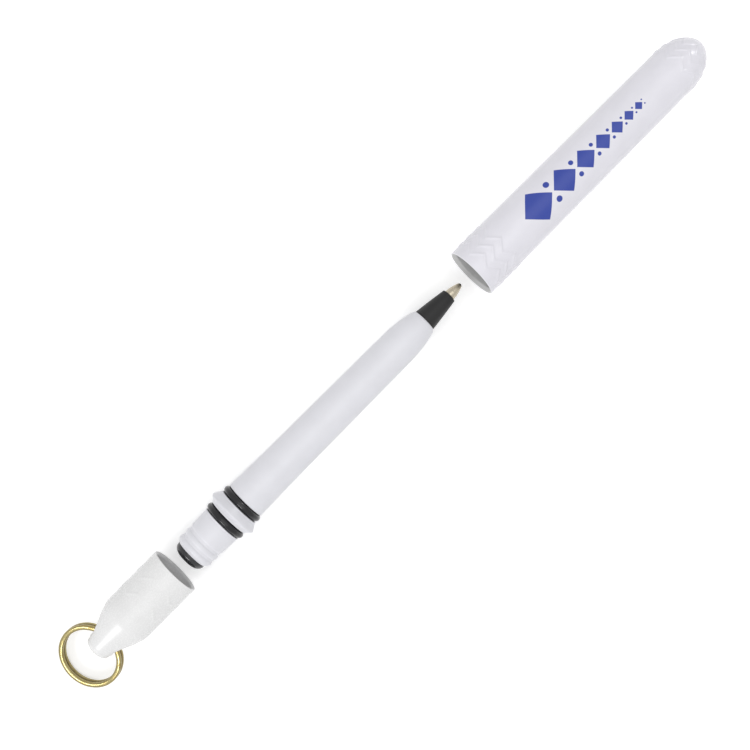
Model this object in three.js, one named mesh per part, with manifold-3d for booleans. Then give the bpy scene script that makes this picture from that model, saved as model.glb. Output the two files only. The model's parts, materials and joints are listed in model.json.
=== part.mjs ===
// A pocket pen taken apart in three pieces along one line. From +X to -X they are the long cap, the short
// pen with its two seals, and the tail cap with its key ring. Pushed together over the seals, the two caps
// close the pen. Lengths are in millimetres, +Z is up, and the pen's axis runs along X above the table.
import * as THREE from "three";
import { mergeVertices, toCreasedNormals } from "three/addons/utils/BufferGeometryUtils.js";
import Module from "manifold-3d";

const wasm = await Module();
wasm.setup();

// Driving dimensions. Radii are measured from the pen's axis.

const runningFit = 0.05; // gap between a cap and what it slides over
const pushFit = 0.03; // gap between pieces that are pushed together for good

// The two seals and the grooves they sit in
const sealRadius = 4.96;
const sealCord = 1.65;
const sealSideGap = 0.1;

// The flange that both caps close against. Its two cones are the seats.
const flangeRadius = 5.77;
const crestWidth = 0.36;
const rearCone = { rim: 0.3, length: 0.55, seat: 5.42, foot: 4.82 };
const frontCone = { rim: 0.6, length: 0.85, seat: 5.54, foot: 4.86 };
const sealLand = { length: 0.22, drop: 0.1 }; // barrel left between a cone's foot and a seal's groove

// The barrel behind the flange, which plugs into the tail cap
const neck = { length: 4.45, root: 4.53, end: 4.36 };
const beads = { count: 2, radius: 4.36, floor: 4.16, crest: 0.6, slope: 0.3, groove: 0.64 };
const rearChamfer = { length: 0.8, radius: 3.7 };

// The barrel in front of the flange, which goes into the long cap
const tube = { length: 46, root: 4.56, rootLength: 9, waist: 4.35, end: 4.06 };
const shoulder = { length: 6.8, radius: 2.72, bulge: 0.38 };
const barrelBore = 2.7;
const mouthBore = { radius: 2, length: 5 }; // through the shoulder

// The refill and the writing end
const endGap = 0.2; // play of the ink tube along the bore
const noseCone = { length: 7.3, base: 2.58, tip: 1.6, bulge: 0.05, spigotInTube: 4.5, passage: 0.6 };
const shank = { radius: 0.85, length: 5 };
const nib = { collar: 1.22, collarEnd: 1.16, collarLength: 0.9, length: 3.4, channel: 0.3, lip: 0.05 };
const ballRadius = 0.5;
const ballSocketRadius = 0.54;
const ballShowing = 0.25;
const inkLevel = 2; // where the ink ends, measured forward from the flange
const follower = { length: 4, dish: 0.8, dishRadius: 1.4 };

// The black plug in the barrel's rear end
const plug = { length: 1.75, face: 2.1, rim: 3.63, edge: 0.2, spigot: 4 };

// The long cap, measured from its mouth
const cap = { mouth: 5.87, end: 5.45, dome: 8.4, wall: 0.9, tipWall: 0.8, tipGap: 0.25 };
const capBore = { sealLength: 5.2, step: 0.8, radius: 4.85 };
const capGap = 3.1; // between the ball and the cap's mouth as laid out
const rimEdge = 0.1;

// The tail cap, measured from its mouth
const tail = { length: 24, radius: 5.69, straight: 13.5, blend: 6, coneAngle: 19.5, round: 1.4 };
const tailBore = { sealLength: 3.4, step: 0.6, catchDepth: 0.1, plugGap: 0.3, point: 1.2 };
const tailGap = 3.1; // between the plug and the tail cap's mouth as laid out
const ringHole = { fromTip: 3.9, radius: 1.75, countersink: 0.35 };

// The raised zigzag lines that run round both caps. Their corners are measured from the mouth.
const zigzag = { arms: 16, swing: 1.85, height: 0.15, crest: 0.3, foot: 0.95, firstCorner: 1 };
const capZigzags = { pitch: 2.3, atMouth: 3, atDome: 3, fromMouth: 1.75, fromTip: 4.2 };
const tailZigzags = { pitch: 4.45, count: 2, fromMouth: 3.45 };

// The key ring, wound twice from flat wire
const keyRing = { radius: 7.2, wireWidth: 1.1, wireThickness: 0.9, turnGap: 0.1, edge: 0.18 };
const ringReach = 5.9; // from the hole's axis to the middle of the ring
const ringJog = { length: 26, endGap: 3 }; // degrees, with the jog inside the hole

// Steps round each turned piece
const aroundBody = 32;
const aroundCore = 24;
const aroundBall = 16;
const aroundCord = 8;
const stepsPerTurn = 32;
const finestDetail = 0.004; // edges shorter than this are merged after a cut or a join

const moulded = (color, roughness) => new THREE.MeshStandardMaterial({ color, roughness, metalness: 0 });
const metal = (color, roughness) => new THREE.MeshStandardMaterial({ color, roughness, metalness: 1 });
const whitePlastic = moulded(0xe6e6ea, 0.35);
const capPlastic = moulded(0xe0e0e6, 0.4);
const blackRubber = moulded(0x202020, 0.6);
const blackPlastic = moulded(0x2a2a2a, 0.35);
const clearPlastic = moulded(0xd8dde0, 0.25);
const inkPaste = moulded(0x141a3c, 0.5);
const grease = moulded(0xd9c98a, 0.5);
const nibMetal = metal(0xcfc4a6, 0.3);
const ballMetal = metal(0x8a8a8a, 0.2);
const ringMetal = metal(0xc9a24a, 0.3);

// Turns an outline of [x, radius] points about the X axis. The outline runs towards +X along the outside,
// and it starts and ends on the axis or closes on itself.
function turned(outline, steps = aroundBody) {
  const points = outline.map(([x, radius]) => new THREE.Vector2(radius, x));
  const geometry = new THREE.LatheGeometry(points, steps, Math.PI / steps);
  return geometry.rotateZ(-Math.PI / 2);
}

function solidOf(geometry) {
  const bare = geometry.clone();
  bare.deleteAttribute("normal");
  bare.deleteAttribute("uv");
  const merged = mergeVertices(bare, 1e-4);
  const corners = merged.index.array;
  const kept = [];
  for (let i = 0; i < corners.length; i += 3) {
    const [a, b, c] = [corners[i], corners[i + 1], corners[i + 2]];
    if (a !== b && b !== c && c !== a) kept.push(a, b, c);
  }
  const mesh = new wasm.Mesh({
    numProp: 3,
    vertProperties: new Float32Array(merged.attributes.position.array),
    triVerts: new Uint32Array(kept),
  });
  return new wasm.Manifold(mesh);
}

function geometryOf(solid) {
  const mesh = solid.simplify(finestDetail).getMesh();
  const geometry = new THREE.BufferGeometry();
  geometry.setAttribute("position", new THREE.BufferAttribute(mesh.vertProperties, 3));
  geometry.setIndex(new THREE.BufferAttribute(mesh.triVerts, 1));
  return geometry;
}

function piece(name, geometry, material) {
  const mesh = new THREE.Mesh(toCreasedNormals(geometry, Math.PI / 5), material);
  mesh.name = name;
  return mesh;
}

// Places along the barrel, measured forward from the middle of the flange
const sealFloor = sealRadius - sealCord - pushFit;
const grooveWidth = sealCord + 2 * sealSideGap;
const frontSeat = crestWidth / 2 + frontCone.rim;
const frontFoot = frontSeat + frontCone.length;
const frontGroove = frontFoot + sealLand.length;
const tubeStart = frontGroove + grooveWidth;
const tubeEnd = tubeStart + tube.length;
const barrelFront = tubeEnd + shoulder.length;
const boreStep = barrelFront - mouthBore.length;
const boreEnd = boreStep - (barrelBore - mouthBore.radius);
const rearSeat = -crestWidth / 2 - rearCone.rim;
const rearFoot = rearSeat - rearCone.length;
const rearGroove = rearFoot - sealLand.length - grooveWidth;
const neckEnd = rearGroove - neck.length;
const beadPitch = beads.groove + beads.crest + 2 * beads.slope;
const beadsStart = neckEnd - beads.count * beadPitch;
const barrelRear = beadsStart - rearChamfer.length;
const plugEnd = barrelRear - runningFit - plug.length;
const inkTubeRear = barrelRear + plug.spigot + endGap;
const inkTubeFront = boreEnd - endGap;
const spigotRear = inkTubeFront - noseCone.spigotInTube;
const noseStart = barrelFront + runningFit;
const noseTip = noseStart + noseCone.length;
const nibStart = noseTip + runningFit;
const nibTip = nibStart + nib.length;
const ballCentre = nibTip - ballRadius;

// Closed, each cap's mouth stands off its cone by the running fit.
const capClosed = frontSeat + runningFit;
const tailClosed = rearSeat - runningFit;
const capLength = nibTip + cap.tipGap + cap.tipWall - capClosed;
const tailBoreDepth = tailClosed - plugEnd + tailBore.plugGap;
const sealBore = sealRadius + runningFit;
const ringHolePlace = tail.length - ringHole.fromTip;

// The outside of each cap at a distance s from its mouth
function capRadiusAt(s) {
  const domeStart = capLength - cap.dome;
  if (s <= domeStart) return cap.mouth + ((cap.end - cap.mouth) * s) / domeStart;
  const reach = Math.min((s - domeStart) / cap.dome, 1);
  return cap.end * Math.sqrt(1 - reach * reach);
}

const tailConeTurn = THREE.MathUtils.degToRad(tail.coneAngle);
const tailBlendLength = tail.blend * Math.sin(tailConeTurn);

function tailRadiusAt(s) {
  const past = s - tail.straight;
  if (past <= 0) return tail.radius;
  if (past <= tailBlendLength) return tail.radius - tail.blend + Math.sqrt(tail.blend ** 2 - past ** 2);
  const blendDrop = tail.blend * (1 - Math.cos(tailConeTurn));
  return tail.radius - blendDrop - (past - tailBlendLength) * Math.tan(tailConeTurn);
}

// Joins loops of points, one after the other, into one surface. Its ends are closed with flat caps or left open.
function loft(sections, capped) {
  const size = sections[0].length;
  const positions = sections.flat(2);
  const index = [];
  const end = (sections.length - 1) * size;
  for (let here = 0; here < end; here += size) {
    const there = here + size;
    for (let side = 0; side < size; side += 1) {
      const next = (side + 1) % size;
      index.push(here + side, here + next, there + next);
      index.push(here + side, there + next, there + side);
    }
  }
  for (let side = 1; side < size - 1 && capped; side += 1) {
    index.push(0, side + 1, side);
    index.push(end, end + side, end + side + 1);
  }
  const geometry = new THREE.BufferGeometry();
  geometry.setAttribute("position", new THREE.Float32BufferAttribute(positions, 3));
  geometry.setIndex(index);
  return geometry;
}

// A ring of points round the axis. The place s along the axis is a number or a function of the step.
function ringOf(placeAt, radiusAt, lift = 0) {
  const ring = [];
  for (let step = 0; step < aroundBody; step += 1) {
    const s = placeAt(step);
    const slope = (radiusAt(s + 0.01) - radiusAt(s - 0.01)) / 0.02;
    const lean = Math.hypot(1, slope);
    const radius = radiusAt(s) + lift / lean;
    const turn = ((step + 0.5) * 2 * Math.PI) / aroundBody;
    ring.push([s - (lift * slope) / lean, -radius * Math.sin(turn), radius * Math.cos(turn)]);
  }
  return ring;
}

const straightRing = (x, radius) => ringOf(() => x, () => radius);

// How far a zigzag line has climbed from its corner nearest the mouth
function zigzagClimb(step) {
  const stepsPerArm = aroundBody / zigzag.arms;
  const along = (((step - zigzag.firstCorner) / stepsPerArm) % 2 + 2) % 2;
  return zigzag.swing * (1 - Math.abs(1 - along));
}

// One raised zigzag line, as rings along its two feet and the two edges of its crest
function zigzagRings(radiusAt, corner) {
  const profile = [
    { offset: -zigzag.foot / 2, lift: 0 },
    { offset: -zigzag.crest / 2, lift: zigzag.height },
    { offset: zigzag.crest / 2, lift: zigzag.height },
    { offset: zigzag.foot / 2, lift: 0 },
  ];
  return profile.map(({ offset, lift }) => {
    const placeAt = (step) => corner + offset + zigzagClimb(step);
    return ringOf(placeAt, radiusAt, lift);
  });
}

// Joins rings of points from one point on the axis to another into a closed surface.
function ringSurface(first, rings, last) {
  const wall = loft(rings, false);
  const positions = [...wall.attributes.position.array, ...first, ...last];
  const index = [...wall.index.array];
  const firstPoint = rings.length * aroundBody;
  const end = (rings.length - 1) * aroundBody;
  for (let step = 0; step < aroundBody; step += 1) {
    const next = (step + 1) % aroundBody;
    index.push(firstPoint, next, step);
    index.push(firstPoint + 1, end + step, end + next);
  }
  wall.setAttribute("position", new THREE.Float32BufferAttribute(positions, 3));
  wall.setIndex(index);
  return wall;
}

// The barrel is one moulding: the flange, two seal grooves, the neck with its snap beads and the long tube.
function barrel() {
  const outside = [[barrelRear, rearChamfer.radius]];
  for (let bead = 0; bead < beads.count; bead += 1) {
    const start = beadsStart + bead * beadPitch;
    const fall = start + beads.crest + beads.slope;
    outside.push([start, beads.radius], [start + beads.crest, beads.radius]);
    outside.push([fall, beads.floor], [fall + beads.groove, beads.floor]);
  }
  outside.push([neckEnd, neck.end], [rearGroove, neck.root]);
  outside.push([rearGroove, sealFloor], [rearGroove + grooveWidth, sealFloor]);
  outside.push([rearGroove + grooveWidth, rearCone.foot - sealLand.drop], [rearFoot, rearCone.foot]);
  outside.push([rearSeat, rearCone.seat], [-crestWidth / 2, flangeRadius]);
  outside.push([crestWidth / 2, flangeRadius], [frontSeat, frontCone.seat]);
  outside.push([frontFoot, frontCone.foot], [frontGroove, frontCone.foot - sealLand.drop]);
  outside.push([frontGroove, sealFloor], [tubeStart, sealFloor], [tubeStart, tube.root]);
  outside.push([tubeStart + tube.rootLength, tube.waist], [tubeEnd, tube.end]);
  const bend = new THREE.QuadraticBezierCurve(
    new THREE.Vector2(tubeEnd, tube.end),
    new THREE.Vector2(tubeEnd + shoulder.length * 0.67, tube.end - shoulder.bulge),
    new THREE.Vector2(barrelFront, shoulder.radius),
  );
  for (const point of bend.getPoints(7).slice(1)) outside.push([point.x, point.y]);
  const inside = [
    [barrelFront, mouthBore.radius],
    [boreStep, mouthBore.radius],
    [boreEnd, barrelBore],
    [barrelRear, barrelBore],
  ];
  return piece("barrel", turned([...outside, ...inside, outside[0]]), whitePlastic);
}

function seal(name, grooveStart) {
  const middle = grooveStart + grooveWidth / 2;
  const cordRadius = sealCord / 2;
  const outline = [];
  for (let i = 0; i <= aroundCord; i += 1) {
    const turn = Math.PI - ((i % aroundCord) * 2 * Math.PI) / aroundCord;
    const radius = sealRadius - cordRadius + cordRadius * Math.sin(turn);
    outline.push([middle + cordRadius * Math.cos(turn), radius]);
  }
  return piece(name, turned(outline), blackRubber);
}

function noseConePiece() {
  const spigot = mouthBore.radius - pushFit;
  const shankBore = shank.radius + pushFit;
  const shankSeat = nibStart - shank.length - pushFit;
  const middle = (noseStart + noseTip) / 2;
  const outline = [
    [spigotRear, noseCone.passage],
    [spigotRear, spigot - 0.3],
    [spigotRear + 0.3, spigot],
    [noseStart, spigot],
    [noseStart, noseCone.base],
    [middle, (noseCone.base + noseCone.tip) / 2 + noseCone.bulge],
    [noseTip, noseCone.tip],
    [noseTip, shankBore],
    [shankSeat, shankBore],
    [shankSeat, noseCone.passage],
  ];
  return piece("nose_cone", turned([...outline, outline[0]], aroundCore), blackPlastic);
}

// The metal point. Its crimped lip is narrower than the ball, so that the ball stays in the socket.
function nibPiece() {
  const lipAhead = ballRadius - ballShowing;
  const lipRadius = Math.sqrt(ballSocketRadius ** 2 - lipAhead ** 2);
  const lipTurn = Math.acos(lipAhead / ballSocketRadius);
  const seatTurn = Math.PI - Math.asin(nib.channel / ballSocketRadius);
  const collarEnd = nibStart + nib.collarLength;
  const bend = new THREE.QuadraticBezierCurve(
    new THREE.Vector2(collarEnd, nib.collarEnd),
    new THREE.Vector2(collarEnd + (ballCentre - collarEnd) * 0.75, nib.collarEnd * 0.8),
    new THREE.Vector2(ballCentre + lipAhead, lipRadius + nib.lip),
  );
  const outline = [
    [nibStart - shank.length, nib.channel],
    [nibStart - shank.length, shank.radius],
    [nibStart, shank.radius],
    [nibStart, nib.collar],
    ...bend.getPoints(4).map((point) => [point.x, point.y]),
  ];
  const socketSteps = 5;
  for (let i = 0; i <= socketSteps; i += 1) {
    const turn = lipTurn + ((seatTurn - lipTurn) * i) / socketSteps;
    outline.push([ballCentre + ballSocketRadius * Math.cos(turn), ballSocketRadius * Math.sin(turn)]);
  }
  return piece("nib", turned([...outline, outline[0]], aroundCore), nibMetal);
}

function writingBall() {
  const ball = piece("writing_ball", new THREE.SphereGeometry(ballRadius, aroundBall, 10), ballMetal);
  ball.position.x = ballCentre;
  return ball;
}

function inkTube() {
  const outer = barrelBore - pushFit;
  const outline = [
    [inkTubeRear, mouthBore.radius],
    [inkTubeRear, outer],
    [inkTubeFront, outer],
    [inkTubeFront, mouthBore.radius],
  ];
  return piece("ink_tube", turned([...outline, outline[0]], aroundCore), clearPlastic);
}

// The ink fills the tube as far as the nose cone and its passage as far as the nib.
function inkColumn() {
  const radius = mouthBore.radius - pushFit;
  const thread = noseCone.passage - pushFit;
  const outline = [
    [inkLevel, 0],
    [inkLevel, radius],
    [spigotRear - pushFit, radius],
    [spigotRear - pushFit, thread],
    [nibStart - shank.length - 2 * pushFit, thread],
    [nibStart - shank.length - 2 * pushFit, 0],
  ];
  return piece("ink_column", turned(outline, aroundCore), inkPaste);
}

function greaseFollower() {
  const radius = mouthBore.radius - pushFit;
  const front = inkLevel - pushFit;
  const outline = [
    [front - follower.length + follower.dish, 0],
    [front - follower.length, follower.dishRadius],
    [front - follower.length, radius],
    [front, radius],
    [front, 0],
  ];
  return piece("grease_follower", turned(outline, aroundCore), grease);
}

function endPlug() {
  const spigot = barrelBore - pushFit;
  const head = barrelRear - runningFit;
  const roundLength = plug.length - plug.edge;
  const outline = [[plugEnd, 0]];
  const steps = 5;
  for (let i = 0; i <= steps; i += 1) {
    const turn = ((i / steps) * Math.PI) / 2;
    const radius = plug.face + (plug.rim - plug.face) * Math.sin(turn);
    outline.push([plugEnd + roundLength * (1 - Math.cos(turn)), radius]);
  }
  outline.push([head, plug.rim], [head, spigot]);
  outline.push([barrelRear + plug.spigot - 0.4, spigot], [barrelRear + plug.spigot, spigot - 0.4]);
  outline.push([barrelRear + plug.spigot, 0]);
  return piece("end_plug", turned(outline, aroundCore), blackPlastic);
}

// Points of a mouth from its bore out over the rim. The bore opens with the slope of the cone it seats on.
function mouth(cone, rimRadius) {
  const opening = cone.seat + runningFit;
  const slope = (cone.seat - cone.foot) / cone.length;
  return [
    [(opening - sealBore) / slope, sealBore],
    [0, opening],
    [0, rimRadius - rimEdge],
    [rimEdge, rimRadius],
  ];
}

function capShell() {
  const domeStart = capLength - cap.dome;
  const insideSteps = 6;
  const rings = [];
  for (let i = insideSteps - 1; i >= 0; i -= 1) {
    const turn = ((i / insideSteps) * Math.PI) / 2;
    const reach = (cap.dome - cap.tipWall) * Math.sin(turn);
    rings.push(straightRing(domeStart + reach, (cap.end - cap.wall) * Math.cos(turn)));
  }
  rings.push(straightRing(capBore.sealLength + capBore.step, capBore.radius));
  rings.push(straightRing(capBore.sealLength, sealBore));
  for (const [x, radius] of mouth(frontCone, cap.mouth)) rings.push(straightRing(x, radius));
  for (let i = 0; i < capZigzags.atMouth; i += 1) {
    rings.push(...zigzagRings(capRadiusAt, capZigzags.fromMouth + i * capZigzags.pitch));
  }
  const lastCorner = capLength - capZigzags.fromTip;
  for (let i = capZigzags.atDome - 1; i >= 0; i -= 1) {
    rings.push(...zigzagRings(capRadiusAt, lastCorner - i * capZigzags.pitch));
  }
  const domeTurn = (step) => {
    const foot = lastCorner + zigzag.foot / 2 + zigzagClimb(step);
    return Math.asin((foot - domeStart) / cap.dome);
  };
  const tipSteps = 4;
  for (let i = 1; i < tipSteps; i += 1) {
    const turnAt = (step) => THREE.MathUtils.lerp(domeTurn(step), Math.PI / 2, i / tipSteps);
    rings.push(ringOf((step) => domeStart + cap.dome * Math.sin(turnAt(step)), capRadiusAt));
  }
  const shell = ringSurface([capLength - cap.tipWall, 0, 0], rings, [capLength, 0, 0]);
  return piece("cap_shell", shell, capPlastic);
}

// The tail cap is hollow as far as the plug reaches. Its tip is solid and has a cross hole for the ring.
function tailCap() {
  const neckBore = neck.root + runningFit;
  const beadBore = beads.radius + runningFit;
  const catchStart = tailClosed - neckEnd;
  const inside = [[tailBoreDepth, beadBore]];
  for (let bead = 0; bead < beads.count; bead += 1) {
    const near = tailClosed - (beadsStart + bead * beadPitch + beads.crest);
    const far = near + beads.crest;
    inside.push([far + tailBore.catchDepth, beadBore], [far, beadBore + tailBore.catchDepth]);
    inside.push([near, beadBore + tailBore.catchDepth], [near - tailBore.catchDepth, beadBore]);
  }
  inside.push([catchStart, beadBore], [catchStart - (neckBore - beadBore), neckBore]);
  inside.push([tailBore.sealLength + tailBore.step, neckBore], [tailBore.sealLength, sealBore]);
  inside.push(...mouth(rearCone, tail.radius));
  const rings = inside.map(([x, radius]) => straightRing(x, radius));
  for (let i = 0; i < tailZigzags.count; i += 1) {
    rings.push(...zigzagRings(tailRadiusAt, tailZigzags.fromMouth + i * tailZigzags.pitch));
  }
  const lastCorner = tailZigzags.fromMouth + (tailZigzags.count - 1) * tailZigzags.pitch;
  const blendStart = Math.max(tail.straight, lastCorner + zigzag.swing + zigzag.foot / 2 + 0.2);
  const coneStart = tail.straight + tailBlendLength;
  const blendSteps = 3;
  for (let i = 0; i <= blendSteps; i += 1) {
    const s = THREE.MathUtils.lerp(blendStart, coneStart, i / blendSteps);
    rings.push(straightRing(s, tailRadiusAt(s)));
  }
  const coneEnd = tail.length - tail.round;
  const roundSteps = 5;
  for (let i = 0; i < roundSteps; i += 1) {
    const turn = ((i / roundSteps) * Math.PI) / 2;
    rings.push(straightRing(coneEnd + tail.round * Math.sin(turn), tailRadiusAt(coneEnd) * Math.cos(turn)));
  }
  const body = ringSurface([tailBoreDepth + tailBore.point, 0, 0], rings, [tail.length, 0, 0]);
  const solid = solidOf(body).subtract(solidOf(ringHoleTool()));
  const mesh = piece("tail_cap", geometryOf(solid), whitePlastic);
  mesh.rotation.z = Math.PI;
  return mesh;
}

// The cross hole with a countersink at each side
function ringHoleTool() {
  const flatRadius = ringHole.radius / Math.cos(Math.PI / aroundCore);
  const side = tailRadiusAt(ringHolePlace);
  const sinkStart = side - ringHole.countersink;
  const beyond = side + 2;
  const wide = flatRadius + beyond - sinkStart;
  const profile = [
    [0, -beyond],
    [wide, -beyond],
    [flatRadius, -sinkStart],
    [flatRadius, sinkStart],
    [wide, beyond],
    [0, beyond],
  ];
  const points = profile.map(([radius, y]) => new THREE.Vector2(radius, y));
  const tool = new THREE.LatheGeometry(points, aroundCore);
  return tool.translate(ringHolePlace, 0, 0);
}

// The key ring is one flat wire wound twice. It steps from the lower turn to the upper one in a short jog.
function splitRing() {
  const { radius, wireWidth, wireThickness, turnGap, edge } = keyRing;
  const halfWidth = wireWidth / 2;
  const halfThickness = wireThickness / 2;
  const profile = [
    [-halfWidth, -halfThickness + edge],
    [-halfWidth, halfThickness - edge],
    [-halfWidth + edge, halfThickness],
    [halfWidth - edge, halfThickness],
    [halfWidth, halfThickness - edge],
    [halfWidth, -halfThickness + edge],
    [halfWidth - edge, -halfThickness],
    [-halfWidth + edge, -halfThickness],
  ];
  const first = ringJog.length / 2 + ringJog.endGap;
  const last = 720 - first;
  const steps = 2 * stepsPerTurn;
  const sections = [];
  for (let step = 0; step <= steps; step += 1) {
    const degrees = first + ((last - first) * step) / steps;
    const climbed = THREE.MathUtils.smoothstep(degrees, 360 - ringJog.length / 2, 360 + ringJog.length / 2);
    const level = (climbed - 0.5) * (wireThickness + turnGap);
    const turn = THREE.MathUtils.degToRad(degrees);
    const section = profile.map(([across, up]) => {
      const reach = radius - halfWidth + across;
      return [reach * Math.cos(turn), reach * Math.sin(turn), level + up];
    });
    sections.push(section);
  }
  const mesh = piece("split_ring", loft(sections, true), ringMetal);
  mesh.position.x = -ringReach;
  return mesh;
}

// Lays the three parts out along the axis with the ring resting on the table behind the tail cap.
const pen = new THREE.Group();
pen.add(
  barrel(),
  seal("front_o_ring", frontGroove),
  seal("rear_o_ring", rearGroove),
  noseConePiece(),
  nibPiece(),
  writingBall(),
  inkTube(),
  inkColumn(),
  greaseFollower(),
  endPlug(),
);

const longCap = new THREE.Group();
longCap.position.x = nibTip + capGap;
longCap.add(capShell());

const tailEnd = new THREE.Group();
tailEnd.position.x = plugEnd - tailGap;
tailEnd.add(tailCap());

const laidOut = new THREE.Group();
laidOut.add(pen, longCap, tailEnd);
const axisHeight = -new THREE.Box3().setFromObject(laidOut, true).min.z;

const ringEdge = keyRing.radius + ringReach;
const ringHalfHeight = keyRing.wireThickness + keyRing.turnGap / 2;
const ringDroop = Math.asin(axisHeight / Math.hypot(ringEdge, ringHalfHeight)) - Math.atan(ringHalfHeight / ringEdge);
const ringHinge = new THREE.Group();
ringHinge.position.x = tailEnd.position.x - ringHolePlace;
ringHinge.rotation.y = -ringDroop;
ringHinge.add(splitRing());
laidOut.add(ringHinge);

// The origin is on the table, below the middle of everything that lies there.
const extent = new THREE.Box3().setFromObject(laidOut, true);
const middle = extent.getCenter(new THREE.Vector3());
laidOut.position.set(-middle.x, 0, -extent.min.z);
const object = new THREE.Group();
object.add(laidOut);

export default object;
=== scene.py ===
# %% [markdown]
# # A pocket pen, taken apart on a white table
# The real object is a short ballpoint that lives on a key ring. A long cap and a tail cap push over the
# pen from both ends and seal against two rubber rings. Here the three parts lie on one line, as in a
# catalogue picture, seen from straight above.
#
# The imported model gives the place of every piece, so this lesson never measures a place by hand: it asks
# the frame. Lengths below are written in millimetres and turned into Blender's metres where they are used.

# %% Load the frame
import json
import math

import bmesh
import bpy
from mathutils import Matrix, Vector


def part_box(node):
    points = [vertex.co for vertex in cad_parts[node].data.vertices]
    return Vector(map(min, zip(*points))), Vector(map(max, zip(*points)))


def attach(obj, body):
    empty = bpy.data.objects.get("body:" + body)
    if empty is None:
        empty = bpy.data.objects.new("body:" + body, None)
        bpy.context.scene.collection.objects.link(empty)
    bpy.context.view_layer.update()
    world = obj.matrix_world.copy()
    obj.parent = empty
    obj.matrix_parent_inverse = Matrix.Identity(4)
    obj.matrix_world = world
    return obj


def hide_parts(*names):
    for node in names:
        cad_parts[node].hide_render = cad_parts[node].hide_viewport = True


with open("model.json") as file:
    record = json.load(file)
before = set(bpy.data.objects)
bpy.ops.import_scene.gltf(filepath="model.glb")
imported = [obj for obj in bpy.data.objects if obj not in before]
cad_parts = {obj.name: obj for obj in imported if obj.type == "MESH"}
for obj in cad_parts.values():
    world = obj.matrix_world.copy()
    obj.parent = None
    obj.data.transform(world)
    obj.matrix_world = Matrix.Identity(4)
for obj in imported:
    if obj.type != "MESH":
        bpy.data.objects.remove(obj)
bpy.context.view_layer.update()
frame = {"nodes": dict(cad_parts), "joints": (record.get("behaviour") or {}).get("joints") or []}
nodes = frame["nodes"]
MM = 0.001


def span(node):
    """Where a piece starts and ends along the pen, in millimetres."""
    low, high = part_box(node)
    return low.x / MM, high.x / MM


barrel_rear, barrel_front = span("barrel")
cap_mouth, cap_tip = span("cap_shell")
tail_tip, tail_mouth = span("tail_cap")
front_seal = sum(span("front_o_ring")) / 2
rear_seal = sum(span("rear_o_ring")) / 2
barrel_low, barrel_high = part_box("barrel")
axis_height = (barrel_low.z + barrel_high.z) / 2 / MM
print(f"barrel {barrel_rear:.2f} to {barrel_front:.2f} mm, axis {axis_height:.2f} mm above the table")

# %% [markdown]
# ## The camera
# A catalogue camera hangs straight over the pen, with the pen's axis running from lower left to upper
# right. The point right below the lens isn't in the middle of the picture, so the lens is shifted a
# little, which moves the picture without turning the camera.

# %% Camera
photo_frame = 750
pixels_per_mm = 4.8
lens_height = 246
tilt_in_picture = 45.1
below_lens = -17.9
below_lens_in_photo = (322.1, 423.2)
sensor_width = 36

camera = bpy.data.objects.new("camera", bpy.data.cameras.new("camera"))
bpy.context.scene.collection.objects.link(camera)
camera.data.sensor_width = sensor_width
camera.data.lens = sensor_width * pixels_per_mm * lens_height / photo_frame
camera.data.shift_x = (photo_frame / 2 - below_lens_in_photo[0]) / photo_frame
camera.data.shift_y = (below_lens_in_photo[1] - photo_frame / 2) / photo_frame
camera.data.clip_start = 0.01
camera.location = (below_lens * MM, 0, (axis_height + lens_height) * MM)
camera.rotation_euler = (0, 0, math.radians(-tilt_in_picture))
bpy.context.scene.camera = camera
bpy.context.scene.view_settings.view_transform = "Standard"
print(f"lens {camera.data.lens:.1f} mm, shift {camera.data.shift_x:.3f}, {camera.data.shift_y:.3f}")

# %% [markdown]
# ## Arithmetic on sockets
# Patterns on plastic and metal are small sums: a distance from the axis, an angle round it, a few
# stripes. Nodes can do sums, but a tree of thirty Math nodes is hard to read. This small class wraps a
# socket so that an ordinary Python expression adds the Math nodes for us. It serves both the shaders
# and the Geometry Nodes below.


# %% A value that does sums
class Value:
    """A socket in a node tree. Sums on it add Math nodes and give the socket of the result."""

    def __init__(self, graph, socket):
        self.graph = graph
        self.socket = socket

    def math(self, operation, *others):
        """A Math node of the given operation on this value and the others."""
        sockets = dict(enumerate((self, *others)))
        return self.graph.add("ShaderNodeMath", {"operation": operation}, sockets)

    def __add__(self, other):
        return self.math("ADD", other)

    def __radd__(self, other):
        return self.math("ADD", other)

    def __sub__(self, other):
        return self.math("SUBTRACT", other)

    def __rsub__(self, other):
        return self.math("MULTIPLY", -1) + other

    def __mul__(self, other):
        return self.math("MULTIPLY", other)

    def __rmul__(self, other):
        return self.math("MULTIPLY", other)

    def __truediv__(self, other):
        return self.math("DIVIDE", other)

    def ramp(self, start, end):
        """0 up to start, 1 from end on, and a soft step between them. The end may lie before the start."""
        if end < start:
            return 1 - self.ramp(end, start)
        settings = {"interpolation_type": "SMOOTHSTEP"}
        sockets = {"Value": self, "From Min": start, "From Max": end}
        return self.graph.add("ShaderNodeMapRange", settings, sockets)


# %% [markdown]
# The other half of the pair is the graph that the values belong to. Every node of this file comes from
# its `node` method, which sets a node's own settings first and its sockets afterwards, because some
# settings change which sockets a node has.


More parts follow.
